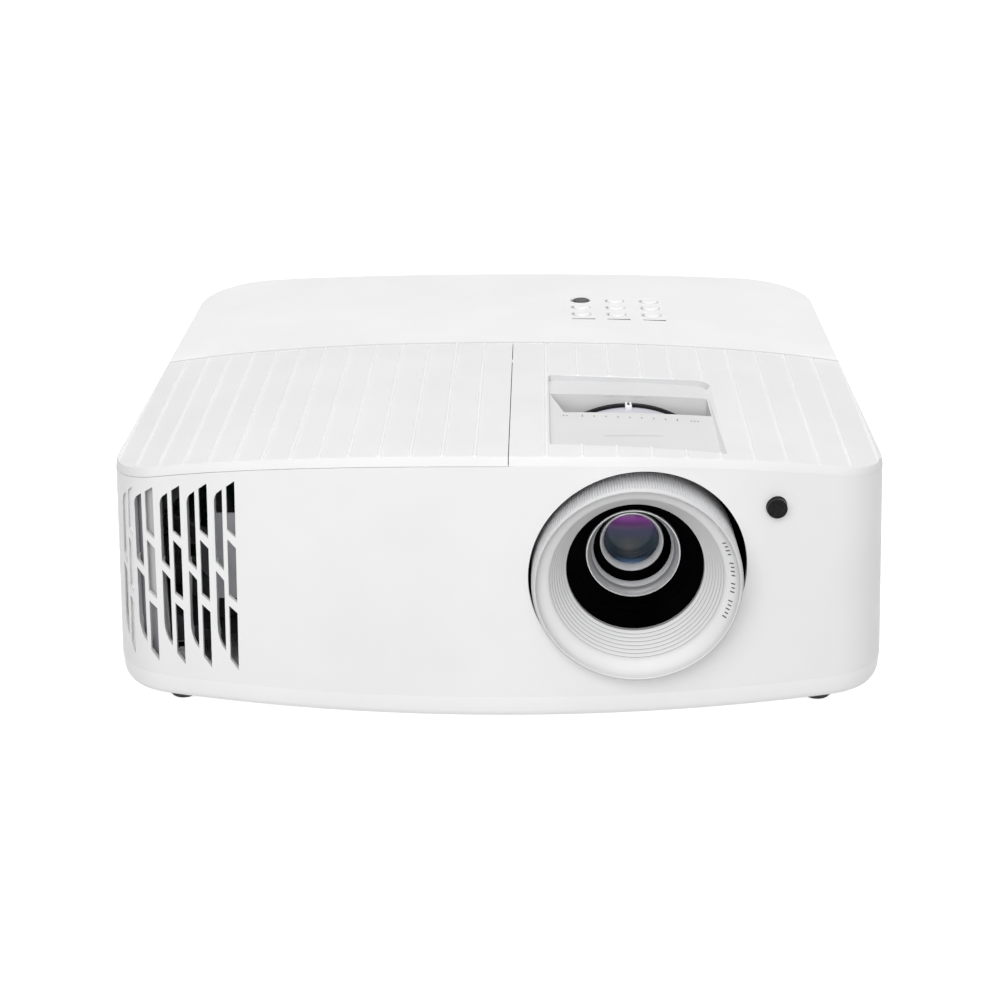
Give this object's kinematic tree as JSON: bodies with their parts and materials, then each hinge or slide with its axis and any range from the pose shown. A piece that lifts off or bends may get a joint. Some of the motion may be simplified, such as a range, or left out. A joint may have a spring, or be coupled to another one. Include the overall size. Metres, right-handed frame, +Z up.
{
  "type": "home projector",
  "caption": "Low desktop projector with an offset zoom lens, a ribbed arched top with a zoom window and keypad, louvred corner vents, rear sockets and screw feet.",
  "frame": {"origin": "middle of the footprint, on the plane the feet stand on", "axes": "+X to the right seen from the front, +Y to the rear, so the lens looks along -Y, +Z up"},
  "size_m": [0.3168, 0.2752, 0.1182],
  "materials": {
    "white_plastic": "fine moulded texture, satin white",
    "key_white": "satin",
    "grey_panel": "fine moulded texture",
    "black_plastic": "matt black",
    "dark_plastic": "satin dark grey",
    "light_pipe": "clear moulded",
    "ir_window": "infrared-passing tinted",
    "silver_metal": "satin anodised",
    "steel": "nickel plated",
    "cast_aluminium": "as cast",
    "circuit_board": "solder mask",
    "lens_glass": "coated optical glass",
    "reflector": "coated glass bowl",
    "foot_rubber": "matt"
  },
  "bodies": {
    "casing": {"ac_inlet": "black_plastic", "audio_out": "black_plastic", "bottom_pan": "white_plastic", "engine_housing": "cast_aluminium", "exhaust_fan_frame": "dark_plastic", "hdmi_1": "steel", "hdmi_2": "steel", "imager_board": "circuit_board", "imager_heat_sink": "cast_aluminium", "intake_fan_frame": "dark_plastic", "ir_window": "ir_window", "lamp_housing": "dark_plastic", "lamp_reflector": "reflector", "lens_barrel": "black_plastic", "lens_shroud": "black_plastic", "light_pipe_1": "light_pipe", "light_pipe_2": "light_pipe", "light_pipe_3": "light_pipe", "main_board": "circuit_board", "pan_screw_1": "steel", "pan_screw_2": "steel", "pan_screw_3": "steel", "pan_screw_4": "steel", "power_board": "circuit_board", "rear_panel": "grey_panel", "rs232": "steel", "speaker": "dark_plastic", "top_cover": "white_plastic", "usb_a": "steel", "vga_in": "dark_plastic", "wall_ring": "white_plastic", "wheel_motor": "cast_aluminium"},
    "focus_ring": {"focus_ring": "white_plastic"},
    "focus_group": {"lens_hood": "black_plastic", "lens_trim": "silver_metal", "lens_cell": "black_plastic", "lens_bezel": "silver_metal", "front_lens": "lens_glass"},
    "zoom_ring": {"zoom_ring": "black_plastic"},
    "zoom_group": {"zoom_cell": "black_plastic", "zoom_lens": "lens_glass"},
    "lamp_cover": {"lamp_cover": "white_plastic"},
    "exhaust_rotor": {"exhaust_fan_rotor": "dark_plastic"},
    "intake_rotor": {"intake_fan_rotor": "dark_plastic"},
    "color_wheel": {"color_wheel": "lens_glass"},
    "key_power": {"key_power": "dark_plastic"},
    "key_r1c2": {"key_r1c2": "key_white"},
    "key_r1c3": {"key_r1c3": "key_white"},
    "key_r2c1": {"key_r2c1": "key_white"},
    "key_r2c2": {"key_r2c2": "key_white"},
    "key_r2c3": {"key_r2c3": "key_white"},
    "key_r3c1": {"key_r3c1": "key_white"},
    "key_r3c2": {"key_r3c2": "key_white"},
    "key_r3c3": {"key_r3c3": "key_white"},
    "stud_front_left": {"foot_stud_front_left": "steel"},
    "pad_front_left": {"foot_pad_front_left": "foot_rubber"},
    "stud_front_right": {"foot_stud_front_right": "steel"},
    "pad_front_right": {"foot_pad_front_right": "foot_rubber"},
    "stud_rear": {"foot_stud_rear": "steel"},
    "pad_rear": {"foot_pad_rear": "foot_rubber"}
  },
  "joints": [
    {"name": "focus_turn", "type": "hinge", "parent": "casing", "child": "focus_ring", "pos_m": [0.05405, -0.11757, 0.066], "axis": [0, 1, 0], "range_deg": [-50, 50]},
    {"name": "focus_slide", "type": "slide", "parent": "casing", "child": "focus_group", "axis": [0, -1, 0], "range_m": [-0.0012, 0.0012]},
    {"name": "zoom_turn", "type": "hinge", "parent": "casing", "child": "zoom_ring", "pos_m": [0.05405, -0.06358, 0.066], "axis": [0, 1, 0], "range_deg": [-20, 20]},
    {"name": "zoom_slide", "type": "slide", "parent": "casing", "child": "zoom_group", "axis": [0, 1, 0], "range_m": [-0.004, 0.004]},
    {"name": "lamp_cover_lift", "type": "slide", "parent": "casing", "child": "lamp_cover", "axis": [0, 0, 1], "range_m": [0, 0.06]},
    {"name": "exhaust_fan_spin", "type": "hinge", "parent": "casing", "child": "exhaust_rotor", "pos_m": [-0.108, -0.09058, 0.061], "axis": [0, 1, 0], "continuous": true},
    {"name": "intake_fan_spin", "type": "hinge", "parent": "casing", "child": "intake_rotor", "pos_m": [0.14, -0.00558, 0.054], "axis": [1, 0, 0], "continuous": true},
    {"name": "color_wheel_spin", "type": "hinge", "parent": "casing", "child": "color_wheel", "pos_m": [-0.0113, 0.01843, 0.066], "axis": [1, 0, 0], "continuous": true},
    {"name": "key_power_press", "type": "slide", "parent": "casing", "child": "key_power", "axis": [0, 0, -1], "range_m": [0, 0.0008], "stiffness_N_per_m": 400},
    {"name": "key_r1c2_press", "type": "slide", "parent": "casing", "child": "key_r1c2", "axis": [0, 0, -1], "range_m": [0, 0.0008], "stiffness_N_per_m": 400},
    {"name": "key_r1c3_press", "type": "slide", "parent": "casing", "child": "key_r1c3", "axis": [0, 0, -1], "range_m": [0, 0.0008], "stiffness_N_per_m": 400},
    {"name": "key_r2c1_press", "type": "slide", "parent": "casing", "child": "key_r2c1", "axis": [0, 0, -1], "range_m": [0, 0.0008], "stiffness_N_per_m": 400},
    {"name": "key_r2c2_press", "type": "slide", "parent": "casing", "child": "key_r2c2", "axis": [0, 0, -1], "range_m": [0, 0.0008], "stiffness_N_per_m": 400},
    {"name": "key_r2c3_press", "type": "slide", "parent": "casing", "child": "key_r2c3", "axis": [0, 0, -1], "range_m": [0, 0.0008], "stiffness_N_per_m": 400},
    {"name": "key_r3c1_press", "type": "slide", "parent": "casing", "child": "key_r3c1", "axis": [0, 0, -1], "range_m": [0, 0.0008], "stiffness_N_per_m": 400},
    {"name": "key_r3c2_press", "type": "slide", "parent": "casing", "child": "key_r3c2", "axis": [0, 0, -1], "range_m": [0, 0.0008], "stiffness_N_per_m": 400},
    {"name": "key_r3c3_press", "type": "slide", "parent": "casing", "child": "key_r3c3", "axis": [0, 0, -1], "range_m": [0, 0.0008], "stiffness_N_per_m": 400},
    {"name": "foot_front_left_extend", "type": "slide", "parent": "casing", "child": "stud_front_left", "axis": [0, 0, -1], "range_m": [0, 0.008]},
    {"name": "foot_front_left_turn", "type": "hinge", "parent": "stud_front_left", "child": "pad_front_left", "pos_m": [-0.131, -0.09957, 0], "axis": [0, 0, 1], "range_deg": [-5, 1450]},
    {"name": "foot_front_right_extend", "type": "slide", "parent": "casing", "child": "stud_front_right", "axis": [0, 0, -1], "range_m": [0, 0.008]},
    {"name": "foot_front_right_turn", "type": "hinge", "parent": "stud_front_right", "child": "pad_front_right", "pos_m": [0.131, -0.09957, 0], "axis": [0, 0, 1], "range_deg": [-5, 1450]},
    {"name": "foot_rear_extend", "type": "slide", "parent": "casing", "child": "stud_rear", "axis": [0, 0, -1], "range_m": [0, 0.008]},
    {"name": "foot_rear_turn", "type": "hinge", "parent": "stud_rear", "child": "pad_rear", "pos_m": [0, 0.11442, 0], "axis": [0, 0, 1], "range_deg": [-5, 1450]}
  ],
  "couplings": [
    {"joint": "focus_slide", "follows": "focus_turn", "m_per_rad": 0.0013},
    {"joint": "zoom_slide", "follows": "zoom_turn", "m_per_rad": 0.01},
    {"joint": "foot_front_left_turn", "follows": "foot_front_left_extend", "rad_per_m": 3141.6},
    {"joint": "foot_front_right_turn", "follows": "foot_front_right_extend", "rad_per_m": 3141.6},
    {"joint": "foot_rear_turn", "follows": "foot_rear_extend", "rad_per_m": 3141.6}
  ]
}
